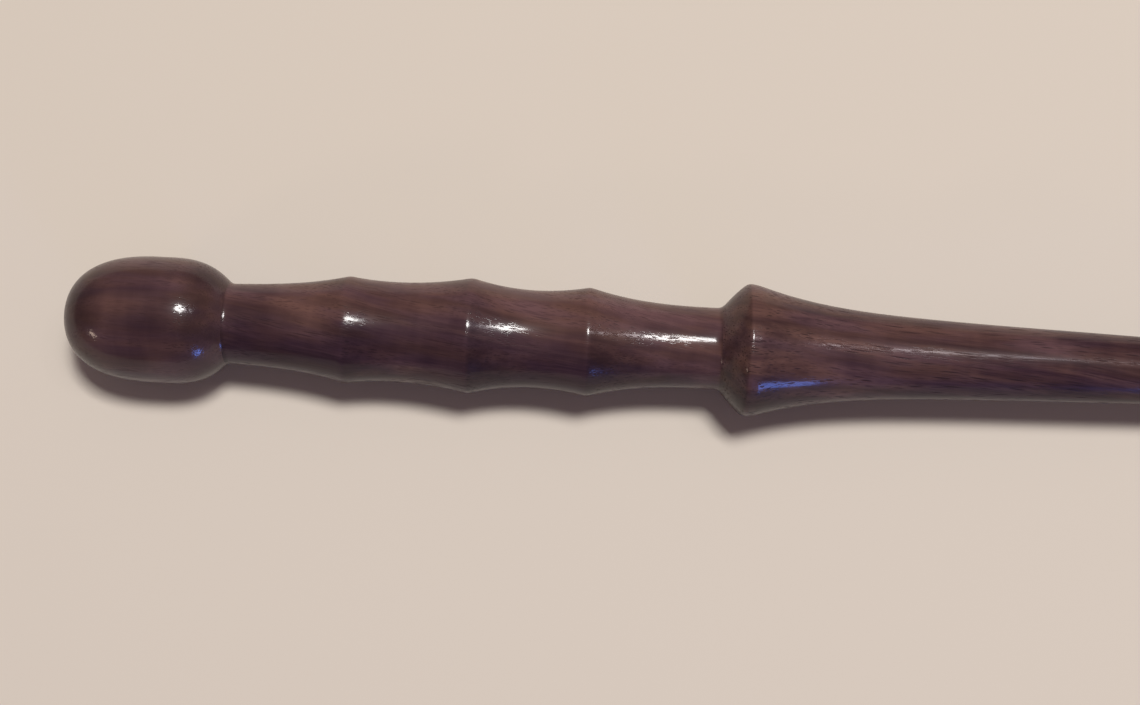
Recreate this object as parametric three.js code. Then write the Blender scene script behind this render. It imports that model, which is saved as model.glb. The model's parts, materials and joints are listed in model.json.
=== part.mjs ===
// A lathe-turned wooden magic wand in five pieces: a ball-like knob, a grip with three finger ridges,
// a tapering shaft with a flared collar, and two hidden dowels that pin the sections together.
// Millimetres, +Z up. The wand lies along X on the plane Z = 0, its tip towards +X.
import * as THREE from "three";

// ---- Driving dimensions. Stations are measured along the axis from the butt of the knob. ----

const LENGTH = 340;

const BUTT_FLAT_RADIUS = 1.5;
const KNOB_RADIUS = 11;
const KNOB_WIDEST_STATION = 15.9;
const KNOB_ROUNDNESS = 2.43; // exponent of the superellipse behind the butt; 2 is a plain ellipse
const KNOB_SHOULDER_SLOPE = -1.08;

const NECK_STATION = 28.1; // the seam between knob and grip
const NECK_RADIUS = 6.95;
const NECK_SLOPE = 0.035;

// Each finger ridge is a crest: the slope of the outline before it and after it differ.
const RIDGES = [
  { station: 48.7, radius: 9.32, slopeBefore: 0.26, slopeAfter: -0.157 },
  { station: 70, radius: 10.08, slopeBefore: 0.204, slopeAfter: -0.285 },
  { station: 90.4, radius: 9.5, slopeBefore: 0.216, slopeAfter: -0.298 },
];

const COLLAR_STATION = 113.3; // the seam between grip and shaft, at the foot of the collar
const COLLAR_FOOT_RADIUS = 7.1;
const COLLAR_FOOT_SLOPE = 0.012;
const COLLAR_BACK_SLOPE_LOW = 1.25;
const COLLAR_BACK_SLOPE_HIGH = 0.69;
const COLLAR_CREST_STATION = 117.74;
const COLLAR_CREST_RADIUS = 11.59;
const COLLAR_LAND_STATION = 119.74;
const COLLAR_LAND_RADIUS = 11.27;

const FLARE_SLOPE = -0.323;
const FLARE_END_STATION = 148.1;
const FLARE_END_RADIUS = 7.05;
const FLARE_END_SLOPE = -0.049;
const TAPER_STATION = 183.5;
const TAPER_RADIUS = 5.915;
const TAPER_SLOPE = -0.031;
const TIP_RADIUS = 2.7;
const TIP_SLOPE = -0.012;
const TIP_FLAT_RADIUS = 1.5;
const TIP_ROUNDING = 1.8; // length of the rounded end

const DOWEL_RADIUS = 4;
const DOWEL_CHAMFER = 0.6;
const KNOB_DOWEL_LENGTH = 30;
const SHAFT_DOWEL_LENGTH = 44;
const SOCKET_SLACK = 1; // free depth left past each end of a dowel
const GLUE_LINE = 0.1; // gap filled by glue, at the seams and round the dowels

const SIDES = 48; // sides of the turned surfaces
const DOWEL_SIDES = 24;
const CURVE_STEPS = 6; // straight steps along each curve of an outline

// ---- Outlines. A point is (radius, station); an outline starts and ends on the axis. ----

function point(radius, station) {
  return new THREE.Vector2(radius, station);
}

// Points along a smooth curve between two stations that leaves and arrives at the given slopes.
function sweep(from, slopeFrom, to, slopeTo, steps = CURVE_STEPS) {
  const third = (to.y - from.y) / 3;
  const curve = new THREE.CubicBezierCurve(
    from,
    point(from.x + slopeFrom * third, from.y + third),
    point(to.x - slopeTo * third, to.y - third),
    to,
  );
  return curve.getPoints(steps);
}

// The back half of the knob: a superellipse from the edge of the butt flat to the widest ring.
function knobBack() {
  const power = 2 / KNOB_ROUNDNESS;
  const start = Math.asin((BUTT_FLAT_RADIUS / KNOB_RADIUS) ** (1 / power));
  const reach = KNOB_WIDEST_STATION / Math.cos(start) ** power;
  const points = [];
  for (let step = 0; step < CURVE_STEPS; step += 1) {
    const angle = start + ((Math.PI / 2 - start) * step) / CURVE_STEPS;
    const station = KNOB_WIDEST_STATION - reach * Math.cos(angle) ** power;
    points.push(point(KNOB_RADIUS * Math.sin(angle) ** power, station));
  }
  return points;
}

function knobFront() {
  const widest = point(KNOB_RADIUS, KNOB_WIDEST_STATION);
  const neck = point(NECK_RADIUS, NECK_STATION);
  return sweep(widest, 0, neck, KNOB_SHOULDER_SLOPE);
}

// The grip's coves, from the neck over the three ridges to the foot of the collar.
function gripCoves() {
  const neck = { station: NECK_STATION, radius: NECK_RADIUS, slopeAfter: NECK_SLOPE };
  const foot = { station: COLLAR_STATION, radius: COLLAR_FOOT_RADIUS, slopeBefore: COLLAR_FOOT_SLOPE };
  const stops = [neck, ...RIDGES, foot];
  const points = [point(neck.radius, neck.station + GLUE_LINE)];
  for (let i = 1; i < stops.length; i += 1) {
    const from = point(stops[i - 1].radius, stops[i - 1].station);
    const to = point(stops[i].radius, stops[i].station);
    points.push(...sweep(from, stops[i - 1].slopeAfter, to, stops[i].slopeBefore).slice(1));
  }
  return points;
}

// The collar's steep back, its narrow crest, the flare and the long taper.
function shaftSurface() {
  const foot = point(COLLAR_FOOT_RADIUS, COLLAR_STATION + GLUE_LINE);
  const crest = point(COLLAR_CREST_RADIUS, COLLAR_CREST_STATION);
  const land = point(COLLAR_LAND_RADIUS, COLLAR_LAND_STATION);
  const flareEnd = point(FLARE_END_RADIUS, FLARE_END_STATION);
  const taper = point(TAPER_RADIUS, TAPER_STATION);
  const tip = point(TIP_RADIUS, LENGTH - TIP_ROUNDING);
  return [
    ...sweep(foot, COLLAR_BACK_SLOPE_LOW, crest, COLLAR_BACK_SLOPE_HIGH),
    ...sweep(land, FLARE_SLOPE, flareEnd, FLARE_END_SLOPE),
    ...sweep(flareEnd, FLARE_END_SLOPE, taper, TAPER_SLOPE).slice(1),
    ...sweep(taper, TAPER_SLOPE, tip, TIP_SLOPE).slice(1),
    ...tipRounding().slice(1),
  ];
}

// A quarter ellipse from the end of the taper to the edge of the tip's flat.
function tipRounding() {
  const points = [];
  for (let step = 0; step <= CURVE_STEPS; step += 1) {
    const angle = (Math.PI / 2) * (step / CURVE_STEPS);
    const radius = TIP_FLAT_RADIUS + (TIP_RADIUS - TIP_FLAT_RADIUS) * Math.cos(angle);
    points.push(point(radius, LENGTH - TIP_ROUNDING * (1 - Math.sin(angle))));
  }
  return points;
}

// A blind socket seen in section, from its floor on the axis out to its mouth.
function socket(floorStation, mouthStation) {
  const bore = DOWEL_RADIUS + GLUE_LINE;
  return [point(0, floorStation), point(bore, floorStation), point(bore, mouthStation)];
}

function socketDepth(dowelLength) {
  return dowelLength / 2 + SOCKET_SLACK;
}

// ---- Solids ----

// Turns an outline about the wand's axis, with a flat side of the polygon facing down.
function turned(outline, sides = SIDES) {
  const geometry = new THREE.LatheGeometry(outline, sides, Math.PI / sides, Math.PI * 2);
  geometry.rotateZ(-Math.PI / 2);
  return geometry;
}

function knobGeometry() {
  const floor = NECK_STATION - socketDepth(KNOB_DOWEL_LENGTH);
  return turned([
    point(0, 0),
    ...knobBack(),
    ...knobFront(),
    ...socket(floor, NECK_STATION).reverse(),
  ]);
}

function gripGeometry() {
  const backMouth = NECK_STATION + GLUE_LINE;
  const backFloor = NECK_STATION + socketDepth(KNOB_DOWEL_LENGTH);
  const frontFloor = COLLAR_STATION - socketDepth(SHAFT_DOWEL_LENGTH);
  return turned([
    ...socket(backFloor, backMouth),
    ...gripCoves(),
    ...socket(frontFloor, COLLAR_STATION).reverse(),
  ]);
}

function shaftGeometry() {
  const mouth = COLLAR_STATION + GLUE_LINE;
  const floor = COLLAR_STATION + socketDepth(SHAFT_DOWEL_LENGTH);
  return turned([...socket(floor, mouth), ...shaftSurface(), point(0, LENGTH)]);
}

function dowelGeometry(length) {
  const half = length / 2;
  const tipRadius = DOWEL_RADIUS - DOWEL_CHAMFER;
  const outline = [
    point(0, -half),
    point(tipRadius, -half),
    point(DOWEL_RADIUS, -half + DOWEL_CHAMFER),
    point(DOWEL_RADIUS, half - DOWEL_CHAMFER),
    point(tipRadius, half),
    point(0, half),
  ];
  return turned(outline, DOWEL_SIDES);
}

// ---- Materials ----

function walnut(color) {
  return new THREE.MeshStandardMaterial({ color, roughness: 0.28, metalness: 0 });
}

function beech() {
  return new THREE.MeshStandardMaterial({ color: 0xcda777, roughness: 0.75, metalness: 0 });
}

// ---- Assembly ----

function piece(name, geometry, material, station = 0) {
  const mesh = new THREE.Mesh(geometry, material);
  mesh.name = name;
  mesh.position.x = station;
  return mesh;
}

// The wand's pieces on their common axis, with the butt at X = 0.
function sections() {
  const group = new THREE.Group();
  group.add(
    piece("knob", knobGeometry(), walnut(0x472f33)),
    piece("knob_dowel", dowelGeometry(KNOB_DOWEL_LENGTH), beech(), NECK_STATION),
    piece("grip", gripGeometry(), walnut(0x503533)),
    piece("shaft_dowel", dowelGeometry(SHAFT_DOWEL_LENGTH), beech(), COLLAR_STATION),
    piece("shaft", shaftGeometry(), walnut(0x4c3234)),
  );
  return group;
}

// The wand rests on the widest rings of its knob and its collar, so its axis leans up towards the tip.
function restingLean() {
  return Math.atan2(COLLAR_CREST_RADIUS - KNOB_RADIUS, COLLAR_CREST_STATION - KNOB_WIDEST_STATION);
}

function wand() {
  const leaned = sections();
  leaned.rotation.y = -restingLean();
  const group = new THREE.Group();
  group.add(leaned);
  group.updateMatrixWorld(true);
  const box = new THREE.Box3().setFromObject(group, true);
  const centre = box.getCenter(new THREE.Vector3());
  group.position.set(-centre.x, -centre.y, -box.min.z);
  return group;
}

export default wand();
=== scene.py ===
"""A lathe-turned walnut magic wand, lying on a pale floor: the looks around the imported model.

The three turned sections are rebuilt as smooth solids with a walnut that runs through them in
three dimensions, so its grain, pores and end grain agree all round. The hidden dowels keep their
own shape. Outlines are in millimetres, with stations measured along the axis from the butt of the
knob. The scene is in metres.
"""

import json
import math

import bpy
from mathutils import Euler, Matrix, Vector


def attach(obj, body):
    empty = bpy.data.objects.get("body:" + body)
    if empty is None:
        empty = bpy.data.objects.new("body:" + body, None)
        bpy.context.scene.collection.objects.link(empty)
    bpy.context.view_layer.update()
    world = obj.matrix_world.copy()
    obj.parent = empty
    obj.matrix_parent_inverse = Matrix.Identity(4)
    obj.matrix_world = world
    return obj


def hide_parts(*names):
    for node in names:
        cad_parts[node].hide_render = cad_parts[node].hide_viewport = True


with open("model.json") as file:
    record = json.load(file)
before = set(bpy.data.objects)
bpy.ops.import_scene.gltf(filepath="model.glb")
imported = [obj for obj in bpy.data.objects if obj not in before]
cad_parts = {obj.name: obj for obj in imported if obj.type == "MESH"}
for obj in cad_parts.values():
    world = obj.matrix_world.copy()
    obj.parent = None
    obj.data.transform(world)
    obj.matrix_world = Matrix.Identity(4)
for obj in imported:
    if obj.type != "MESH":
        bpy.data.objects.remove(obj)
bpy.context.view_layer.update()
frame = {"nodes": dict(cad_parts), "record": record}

MM = 0.001
BODY = "root"
SIDES = 192  # sides of each turned surface
STEPS = 26  # rings along each stretch between two stops of an outline
FLAT_SIDES = 48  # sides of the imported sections, which the round surfaces stay inside
ROUNDED = math.cos(math.pi / FLAT_SIDES)
CREST_ROUNDING = 0.65  # half the length over which a crest is rounded
GROOVE_ROUNDING = 0.7  # and the same for a groove

# ---- Outlines -------------------------------------------------------------------------------

BUTT_FLAT_RADIUS = 1.5
KNOB_RADIUS = 11.0
KNOB_WIDEST = 15.9
KNOB_ROUNDNESS = 2.43
NECK = 28.1
COLLAR = 113.3
LENGTH = 340.0
TIP_RADIUS = 2.7
TIP_FLAT_RADIUS = 1.5
TIP_ROUNDING = 1.8
DOWEL_SOCKET_RADIUS = 4.1
KNOB_SOCKET_DEPTH = 16.0
SHAFT_SOCKET_DEPTH = 23.0
SEAM = 0.005  # the hairline between two sections

# A stop of the outline: station, radius, slope arriving, slope leaving.
STOPS = [
    (KNOB_WIDEST, KNOB_RADIUS, 0.0, 0.0),
    (NECK, 6.95, -1.08, 0.035),
    (48.7, 9.32, 0.26, -0.157),
    (70.0, 10.08, 0.204, -0.285),
    (90.4, 9.5, 0.216, -0.298),
    (COLLAR, 7.1, 0.012, 1.25),
    (117.74, 11.59, 0.69, -0.16),
    (119.74, 11.27, -0.16, -0.323),
    (148.1, 7.05, -0.049, -0.049),
    (183.5, 5.915, -0.031, -0.031),
    (LENGTH - TIP_ROUNDING, TIP_RADIUS, -0.012, -0.012),
]


def eased(count):
    """Shares from 0 to 1 that lie closer together near both ends."""
    return [(1 - math.cos(math.pi * i / count)) / 2 for i in range(count + 1)]


def stretch(start, end):
    """Points of the smooth curve between two stops."""
    s0, r0, _, m0 = start
    s1, r1, m1, _ = end
    length = s1 - s0
    points = []
    for t in eased(STEPS):
        keep = (1 + 2 * t) * (1 - t) ** 2 * r0 + t * t * (3 - 2 * t) * r1
        lean = t * (1 - t) ** 2 * length * m0 - t * t * (1 - t) * length * m1
        points.append((s0 + length * t, keep + lean))
    return points


def corner_rounded(station, radius):
    """The radius there, with each break in the slope eased into a short parabola."""
    for stop, _, before, after in STOPS:
        half = CREST_ROUNDING if before > after else GROOVE_ROUNDING
        reach = max(half - abs(station - stop), 0)
        radius -= (before - after) / (4 * half) * reach * reach
    return radius


def outline(first, last):
    """The outline between two stations that are stops."""
    points = []
    for start, end in zip(STOPS, STOPS[1:]):
        if first <= start[0] < last:
            points += stretch(start, end)[:-1]
            closing = end
    points.append(closing[:2])
    return [(station, corner_rounded(station, radius)) for station, radius in points]


def knob_back():
    """The superellipse from the edge of the butt flat to just before the widest ring."""
    power = 2 / KNOB_ROUNDNESS
    first = math.asin((BUTT_FLAT_RADIUS / KNOB_RADIUS) ** (1 / power))
    reach = KNOB_WIDEST / math.cos(first) ** power
    points = []
    for i in range(2 * STEPS):
        angle = first + (math.pi / 2 - first) * i / (2 * STEPS)
        station = KNOB_WIDEST - reach * math.cos(angle) ** power
        points.append((station, KNOB_RADIUS * math.sin(angle) ** power))
    return points


def tip_rounding():
    points = []
    for i in range(1, STEPS + 1):
        angle = math.pi / 2 * i / STEPS
        radius = TIP_FLAT_RADIUS + (TIP_RADIUS - TIP_FLAT_RADIUS) * math.cos(angle)
        points.append((LENGTH - TIP_ROUNDING * (1 - math.sin(angle)), radius))
    return points


def socket(mouth, depth):
    """A blind socket, from its mouth to its floor, which lies that far along the axis."""
    return [(mouth, DOWEL_SOCKET_RADIUS), (mouth + depth, DOWEL_SOCKET_RADIUS)]


# ---- Meshes ---------------------------------------------------------------------------------

mounts = {m["name"]: m for m in frame["record"]["mounts"]}
BUTT = Vector(mounts["butt_flat"]["pos_m"])
TIP = Vector(mounts["tip_flat"]["pos_m"])
AXIS = (TIP - BUTT).normalized()
SIDEWAYS = Vector((0, 1, 0))
UPRIGHT = AXIS.cross(SIDEWAYS)


def at(station, radius=0.0, angle=0.0):
    """The point in the frame at that station, radius and angle round the axis."""
    spoke = UPRIGHT * math.cos(angle) + SIDEWAYS * math.sin(angle)
    return BUTT + AXIS * (station * MM) + spoke * (radius * ROUNDED * MM)


def turned(name, points, first_pole, last_pole):
    """A closed solid: the outline turned about the wand's axis between two points on the axis."""
    verts = [at(first_pole)]
    for station, radius in points:
        for i in range(SIDES):
            verts.append(at(station, radius, 2 * math.pi * i / SIDES))
    verts.append(at(last_pole))
    faces = []
    last = len(verts) - 1
    end = last - SIDES
    for i in range(SIDES):
        j = (i + 1) % SIDES
        faces.append((0, 1 + j, 1 + i))
        faces.append((last, end + i, end + j))
        for ring in range(len(points) - 1):
            low = 1 + ring * SIDES
            faces.append((low + i, low + j, low + SIDES + j, low + SIDES + i))
    mesh = bpy.data.meshes.new(name)
    mesh.from_pydata(verts, [], faces)
    mesh.polygons.foreach_set("use_smooth", [True] * len(mesh.polygons))
    mesh.set_sharp_from_angle(angle=math.radians(40))
    piece = bpy.data.objects.new(name, mesh)
    bpy.context.scene.collection.objects.link(piece)
    return piece


def turned_knob():
    points = knob_back() + outline(KNOB_WIDEST, NECK)
    points += socket(NECK - SEAM, -KNOB_SOCKET_DEPTH)
    return turned("turned_knob", points, 0, NECK - SEAM - KNOB_SOCKET_DEPTH)


def turned_grip():
    back = socket(NECK + SEAM, KNOB_SOCKET_DEPTH)
    front = socket(COLLAR - SEAM, -SHAFT_SOCKET_DEPTH)
    points = back[::-1] + outline(NECK, COLLAR) + front
    return turned("turned_grip", points, back[1][0], front[1][0])


def turned_shaft():
    back = socket(COLLAR + SEAM, SHAFT_SOCKET_DEPTH)
    points = back[::-1] + outline(COLLAR, LENGTH - TIP_ROUNDING) + tip_rounding()
    return turned("turned_shaft", points, back[1][0], LENGTH)


# ---- Shader graphs --------------------------------------------------------------------------


class Graph:
    """Short names for the shader nodes used here. A value is a number, a tuple or a socket."""

    def __init__(self, name):
        self.material = bpy.data.materials.new(name)
        self.material.use_nodes = True
        self.tree = self.material.node_tree
        self.shader = self.tree.nodes["Principled BSDF"]

    def add(self, kind, values, output=0, **settings):
        made = self.tree.nodes.new(kind)
        for key, value in settings.items():
            setattr(made, key, value)
        for key, value in values.items():
            self.put(made.inputs[key], value)
        return made.outputs[output]

    def put(self, target, value):
        if isinstance(value, bpy.types.NodeSocket):
            self.tree.links.new(value, target)
        else:
            target.default_value = value

    def math(self, operation, a, b=0.0):
        return self.add("ShaderNodeMath", {0: a, 1: b}, operation=operation)

    def vector(self, operation, a, b=(0, 0, 0)):
        output = "Value" if operation in ("LENGTH", "DOT_PRODUCT") else "Vector"
        return self.add("ShaderNodeVectorMath", {0: a, 1: b}, output, operation=operation)

    def product(self, a, b):
        return self.math("MULTIPLY", a, b)

    def total(self, first, *more):
        for term in more:
            first = self.math("ADD", first, term)
        return first

    def scaled(self, a, x, y, z):
        return self.vector("MULTIPLY", a, (x, y, z))

    def noise(self, where, detail=2.0, roughness=0.5, output="Fac"):
        values = {"Vector": where, "Scale": 1.0, "Detail": detail, "Roughness": roughness}
        return self.add("ShaderNodeTexNoise", values, output)

    def drawn_out(self, where, along, across, detail=2.0, roughness=0.5, output="Fac"):
        """Noise that changes that often in a unit along the fibres and across them."""
        return self.noise(self.scaled(where, along, across, across), detail, roughness, output)

    def spots(self, where):
        """Distance to the nearest of a random scatter of points, one to each unit cell."""
        return self.add("ShaderNodeTexVoronoi", {"Vector": where, "Scale": 1.0}, "Distance")

    def ease(self, value, low, high, to_low=0.0, to_high=1.0):
        values = {"Value": value, 1: low, 2: high, 3: to_low, 4: to_high}
        return self.add("ShaderNodeMapRange", values, interpolation_type="SMOOTHSTEP")

    def mix(self, share, a, b):
        values = {"Factor": share, 6: (*a, 1) if isinstance(a, tuple) else a}
        values[7] = (*b, 1) if isinstance(b, tuple) else b
        return self.add("ShaderNodeMix", values, 2, data_type="RGBA")

    def shade(self, colour, factor):
        """The colour multiplied by a number."""
        values = {0: colour, "Scale": factor}
        return self.add("ShaderNodeVectorMath", values, operation="SCALE")

    def bump(self, height, depth):
        values = {"Height": height, "Distance": depth, "Strength": 1.0}
        return self.add("ShaderNodeBump", values)

    def finish(self, **sockets):
        """Gives the shader its inputs, each named as its socket is, with _ for a space."""
        for name, value in sockets.items():
            self.put(self.shader.inputs[name.replace("_", " ")], value)
        return self.material


# ---- Walnut ---------------------------------------------------------------------------------

PURPLE = (0.037, 0.017, 0.025)
BROWN = (0.062, 0.032, 0.035)
RED = (0.172, 0.090, 0.083)
PORE = (0.014, 0.007, 0.010)
COOL_TINT = (0.97, 0.98, 1.09)
AMBER_TINT = (1.05, 1.02, 0.90)
RING_WIDTH = 4.6  # one year's growth
FROM_PITH = (0, 31, 44)  # from the pith of the log to the blank
SAP_AND_LIGHT_REACH = 10 * MM  # towards its paler side the wood turns from heartwood to the log's outer wood, and from painted shade to painted light, over twice this length
RELIEF = 0.03 * MM  # depth of the pores in the wood
COAT_RELIEF = 0.016 * MM  # and in the lacquer over it

# A pore is deep out to core and ends at edge, both as shares of its cell in a field of pores.
SMALL_PORES = {"spacing": 0.25, "length": 3.6, "core": 0.16, "edge": 0.44}
LARGE_PORES = {"spacing": 0.46, "length": 8.0, "core": 0.14, "edge": 0.34}

# How each section lay in the log, and how its surface came out. tilt is the turn of its grain in
# degrees and shift its place in the log. warmth is how much redder it is than the log, coarse how
# open and streaky its grain is, and gloss how much lacquer lies on closed grain. Away from the
# station sap_and_light_from the wood grows paler and redder in the direction sap_and_light_side,
# faster where that is longer. That direction points mostly to the side the ceiling lamps shine
# from, so the change is painted light on the lit side as well as the log's paler outer wood.
CUTS = {
    "knob": {
        "tilt": (0, 4, 2),
        "shift": (772, 89, -81),
        "warmth": 0.04,
        "coarse": 0.4,
        "gloss": 0.42,
        "sap_and_light_from": 16,
        "sap_and_light_side": (0, 0.2, 0),
    },
    "grip": {
        "tilt": (8, 3, 10),
        "shift": (583, 73, -55),
        "warmth": 0.02,
        "coarse": 0.8,
        "gloss": 0.33,
        "sap_and_light_from": 70,
        "sap_and_light_side": (0.06, 0.75, 0.2),
    },
    "shaft": {
        "tilt": (0, -3, 4),
        "shift": (447, 52, -45),
        "warmth": 0.03,
        "coarse": 1.3,
        "gloss": 0.28,
        "sap_and_light_from": 145,
        "sap_and_light_side": (-0.11, 0.52, 0.1),
    },
}


def fibre_space(g, place, cut):
    """Millimetres along and across the fibres: as in a straight log, and as they wander in it."""
    values = {
        "Vector": place,
        "Scale": (1 / MM, 1 / MM, 1 / MM),
        "Rotation": [math.radians(a) for a in cut["tilt"]],
        "Location": cut["shift"],
    }
    straight = g.add("ShaderNodeMapping", values)
    wander = g.drawn_out(straight, 0.016, 0.07, output="Color")
    drift = g.scaled(g.vector("SUBTRACT", wander, (0.5, 0.5, 0.5)), 0, 5.0, 5.0)
    return straight, g.vector("ADD", straight, drift)


def rings(g, fibre):
    """The late wood of each year's ring: 1 in it and 0 in the early wood."""
    from_pith = g.vector("LENGTH", g.scaled(g.vector("ADD", fibre, FROM_PITH), 0, 1, 1))
    wave = g.math("SINE", g.product(from_pith, 2 * math.pi / RING_WIDTH))
    return g.ease(wave, -0.7, 1.0)


def slits(g, fibre, spacing, length, core, edge):
    """Short slits along the fibres: 1 in a slit and 0 between them."""
    near = g.spots(g.scaled(fibre, 1 / length, 1 / spacing, 1 / spacing))
    return g.ease(near, core, edge, 1.0, 0.0)


def pores(g, fibre, streaks, late_wood, coarse):
    """Open pores, small and large, which crowd together in some streaks."""
    small = g.product(slits(g, fibre, **SMALL_PORES), 0.7)
    large = g.product(slits(g, fibre, **LARGE_PORES), coarse)
    crowd = g.ease(g.total(streaks, g.product(late_wood, -0.1)), 0.28, 0.58)
    return g.product(g.math("MAXIMUM", small, large), crowd)


def redness(g, place, straight, streaks, curl, cut):
    """Where the ground lies between purple heartwood, at 0, and red wood, at 1."""
    figure = g.product(g.drawn_out(straight, 0.055, 0.085), 1.1)
    stripes = g.product(g.math("SUBTRACT", streaks, 0.5), 0.8 * cut["coarse"])
    # Painted light: paler and redder towards the side the ceiling lamps shine from, standing in for
    # the lit side, on top of the log's paler outer wood.
    off_centre = g.vector("SUBTRACT", place, tuple(at(cut["sap_and_light_from"])))
    towards_sap_and_light = g.vector("DOT_PRODUCT", off_centre, cut["sap_and_light_side"])
    sapwood_and_painted_light = g.ease(towards_sap_and_light, -SAP_AND_LIGHT_REACH, SAP_AND_LIGHT_REACH, -0.38, 0.38)
    warm = g.total(figure, g.product(curl, 0.08), stripes, sapwood_and_painted_light, cut["warmth"])
    return g.ease(warm, 0.29, 1.09)


def ground_colour(g, straight, fine, late_wood, curl, warm, coarse):
    """The wood between its pores."""
    ground = g.mix(warm, PURPLE, RED)
    ground = g.mix(g.ease(fine, 0.3, 0.7, 0.0, 0.1 + 0.26 * coarse), ground, BROWN)
    hue = g.drawn_out(straight, 0.06, 0.26, 2.0, 0.6)
    tint = g.mix(g.ease(hue, 0.35, 0.65), COOL_TINT, AMBER_TINT)
    light = g.ease(fine, 0.25, 0.75, 1 - 0.12 * coarse, 1 + 0.12 * coarse)
    light = g.total(light, g.ease(curl, 0.3, 0.7, -0.025, 0.025))
    light = g.product(light, g.ease(late_wood, 0.0, 1.0, 1.05, 0.87))
    return g.shade(g.vector("MULTIPLY", ground, tint), light)


def end_grain(g, tilt):
    """How squarely the surface cuts the fibres: 0 along them and 1 across."""
    facing = g.add("ShaderNodeTexCoord", {}, "Normal")
    along = Euler([math.radians(-a) for a in tilt]).to_matrix() @ Vector((1, 0, 0))
    return g.math("ABSOLUTE", g.vector("DOT_PRODUCT", facing, tuple(along)))


def walnut(section):
    """Oiled and lacquered walnut. The lacquer is thin over the pores, which stay open."""
    cut = CUTS[section]
    g = Graph(f"walnut_{section}")
    place = g.add("ShaderNodeTexCoord", {}, "Object")
    straight, fibre = fibre_space(g, place, cut)
    fine = g.drawn_out(fibre, 0.07, 1.9, 5.0, 0.62)
    streaks = g.drawn_out(fibre, 0.035, 0.55, 3.0, 0.55)
    curl = g.drawn_out(straight, 0.55, 0.12)
    late_wood = rings(g, fibre)
    pore = pores(g, fibre, streaks, late_wood, cut["coarse"])

    warm = redness(g, place, straight, streaks, curl, cut)
    ground = ground_colour(g, straight, fine, late_wood, curl, warm, cut["coarse"])
    colour = g.mix(g.product(pore, 0.55), ground, PORE)
    colour = g.shade(colour, g.ease(end_grain(g, cut["tilt"]), 0.12, 0.42, 1.0, 0.7))

    tool_marks = g.drawn_out(place, 2.6 / MM, 0.09 / MM)
    height = g.total(g.product(pore, -0.8), g.product(fine, 0.18), g.product(tool_marks, 0.05))
    return g.finish(
        Base_Color=colour,
        Roughness=g.total(g.ease(fine, 0.2, 0.8, 0.27, 0.36), g.product(pore, 0.25)),
        Normal=g.bump(height, RELIEF),
        Specular_IOR_Level=0.07,
        Coat_Weight=g.ease(pore, 0.0, 0.6, cut["gloss"], 0.1),
        Coat_Roughness=0.11,
        Coat_IOR=1.6,
        Coat_Normal=g.bump(height, COAT_RELIEF),
    )


# ---- Beech ----------------------------------------------------------------------------------

BEECH_DARK = (0.50, 0.31, 0.15)
BEECH_LIGHT = (0.66, 0.45, 0.24)
BEECH_RAY = (0.30, 0.15, 0.06)
RAYS = {"spacing": 0.5, "length": 1.6, "core": 0.12, "edge": 0.26}


def beech():
    """Bare beech of the dowels: pale, with fine dark rays."""
    g = Graph("dowel_beech")
    place = g.add("ShaderNodeTexCoord", {}, "Object")
    fibre = g.scaled(place, 1 / MM, 1 / MM, 1 / MM)
    fine = g.drawn_out(fibre, 0.12, 3.0, 4.0, 0.6)
    rays = slits(g, fibre, **RAYS)
    return g.finish(
        Base_Color=g.mix(g.product(rays, 0.5), g.mix(fine, BEECH_DARK, BEECH_LIGHT), BEECH_RAY),
        Roughness=g.ease(fine, 0.2, 0.8, 0.62, 0.8),
        Normal=g.bump(g.math("SUBTRACT", fine, rays), RELIEF),
    )


# ---- Pieces ---------------------------------------------------------------------------------


def dress(piece, node):
    """The piece takes a packed section's place and gets its walnut."""
    piece.data.materials.append(walnut(node))
    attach(piece, BODY)
    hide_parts(node)


def dress_dowels():
    wood = beech()
    for node in ("knob_dowel", "shaft_dowel"):
        dowel = frame["nodes"][node]
        dowel.data.materials.clear()
        dowel.data.materials.append(wood)


# ---- Stage ----------------------------------------------------------------------------------

LENS = 54.1
CAMERA_HEIGHT = 297.0  # distance from the axis, in millimetres
CAMERA_STATION = 93.6  # the camera stands over this station
CAMERA_ASIDE = -1.65  # and this far to the side of the axis, in millimetres
CAMERA_LEAN = 11.0  # how far the camera leans to the near side of the wand, in degrees
WAND_TILT = 3.02  # how far the wand slopes across the picture, in degrees
PICTURE_SHIFT = -0.0316  # the camera's foot lies a little right of the picture's centre
FLOOR_COLOUR = (0.755, 0.69, 0.6, 1)
FLOOR_HALF = 3.0
LAMP_AIM = 100  # the station that the lamps shine at
SKY_COLOUR = (1.0, 0.735, 0.72, 1)
SKY_STRENGTH = 0.14


def floor():
    half = FLOOR_HALF
    corners = [(-half, -half, 0), (half, -half, 0), (half, half, 0), (-half, half, 0)]
    mesh = bpy.data.meshes.new("floor")
    mesh.from_pydata(corners, [], [(0, 1, 2, 3)])
    g = Graph("pale_floor")
    g.finish(Base_Color=FLOOR_COLOUR, Roughness=0.95, Specular_IOR_Level=0.1)
    mesh.materials.append(g.material)
    plane = bpy.data.objects.new("floor", mesh)
    bpy.context.scene.collection.objects.link(plane)


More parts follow.
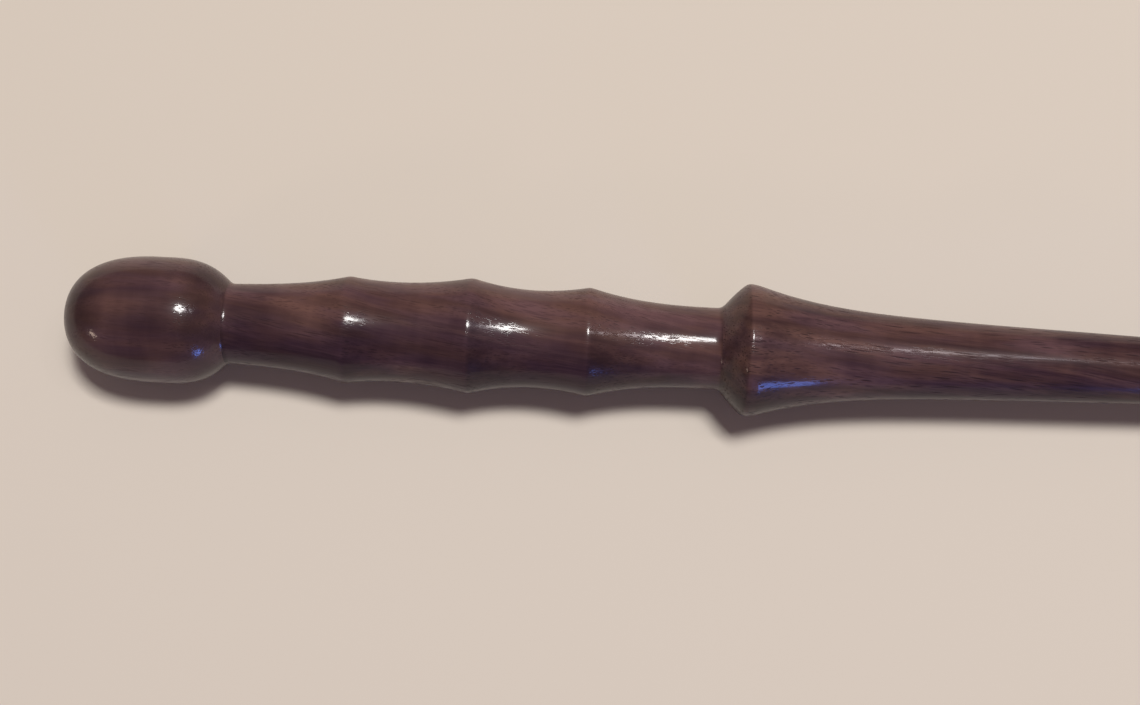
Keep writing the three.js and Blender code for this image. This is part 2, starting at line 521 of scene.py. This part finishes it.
def camera():
    data = bpy.data.cameras.new("camera")
    data.lens = LENS
    data.shift_x = PICTURE_SHIFT
    data.clip_start = 0.01
    view = bpy.data.objects.new("camera", data)
    lean = Matrix.Rotation(math.radians(CAMERA_LEAN), 3, "X")
    roll = Matrix.Rotation(math.radians(WAND_TILT), 3, "Z")
    view.location = at(CAMERA_STATION) + lean @ Vector((0, CAMERA_ASIDE, CAMERA_HEIGHT)) * MM
    view.rotation_euler = (lean @ roll).to_euler()
    bpy.context.scene.collection.objects.link(view)
    bpy.context.scene.camera = view


def lamp(name, towards, distance, size, power, colour):
    """An area lamp, which shines at the grip from that direction and distance."""
    data = bpy.data.lights.new(name, "AREA")
    data.shape = "RECTANGLE"
    data.size = size[0]
    data.size_y = size[1]
    data.energy = power
    data.color = colour
    light = bpy.data.objects.new(name, data)
    back = Vector(towards).normalized()
    light.location = at(LAMP_AIM) + back * distance
    light.rotation_euler = back.to_track_quat("Z", "Y").to_euler()
    bpy.context.scene.collection.objects.link(light)


def lights():
    """Three lamps overhead in a row, a low cool one in front and a faint warm one past the knob."""
    lamp("ceiling_lamp", (0.12, 0.2, 0.98), 1.6, (0.32, 0.30), 18.5, (1.0, 0.98, 0.96))
    lamp("second_lamp", (0.278, 0.185, 0.96), 1.6, (0.18, 0.16), 1.2, (1.0, 0.9, 0.94))
    lamp("third_lamp", (0.455, 0.19, 0.95), 1.6, (0.13, 0.10), 0.5, (1.0, 0.9, 0.94))
    lamp("cool_lamp", (0.498, -0.867, 0.105), 1.5, (0.30, 0.27), 4.3, (0.13, 0.28, 1.0))
    lamp("far_lamp", (-0.80, -0.505, 0.32), 1.6, (0.24, 0.10), 1.1, (1.0, 0.75, 0.6))
    world = bpy.data.worlds.new("studio")
    world.use_nodes = True
    sky = world.node_tree.nodes["Background"]
    sky.inputs["Color"].default_value = SKY_COLOUR
    sky.inputs["Strength"].default_value = SKY_STRENGTH
    bpy.context.scene.world = world


bpy.context.scene.view_settings.view_transform = "Standard"

dress(turned_knob(), "knob")
dress(turned_grip(), "grip")
dress(turned_shaft(), "shaft")
dress_dowels()
floor()
camera()
lights()
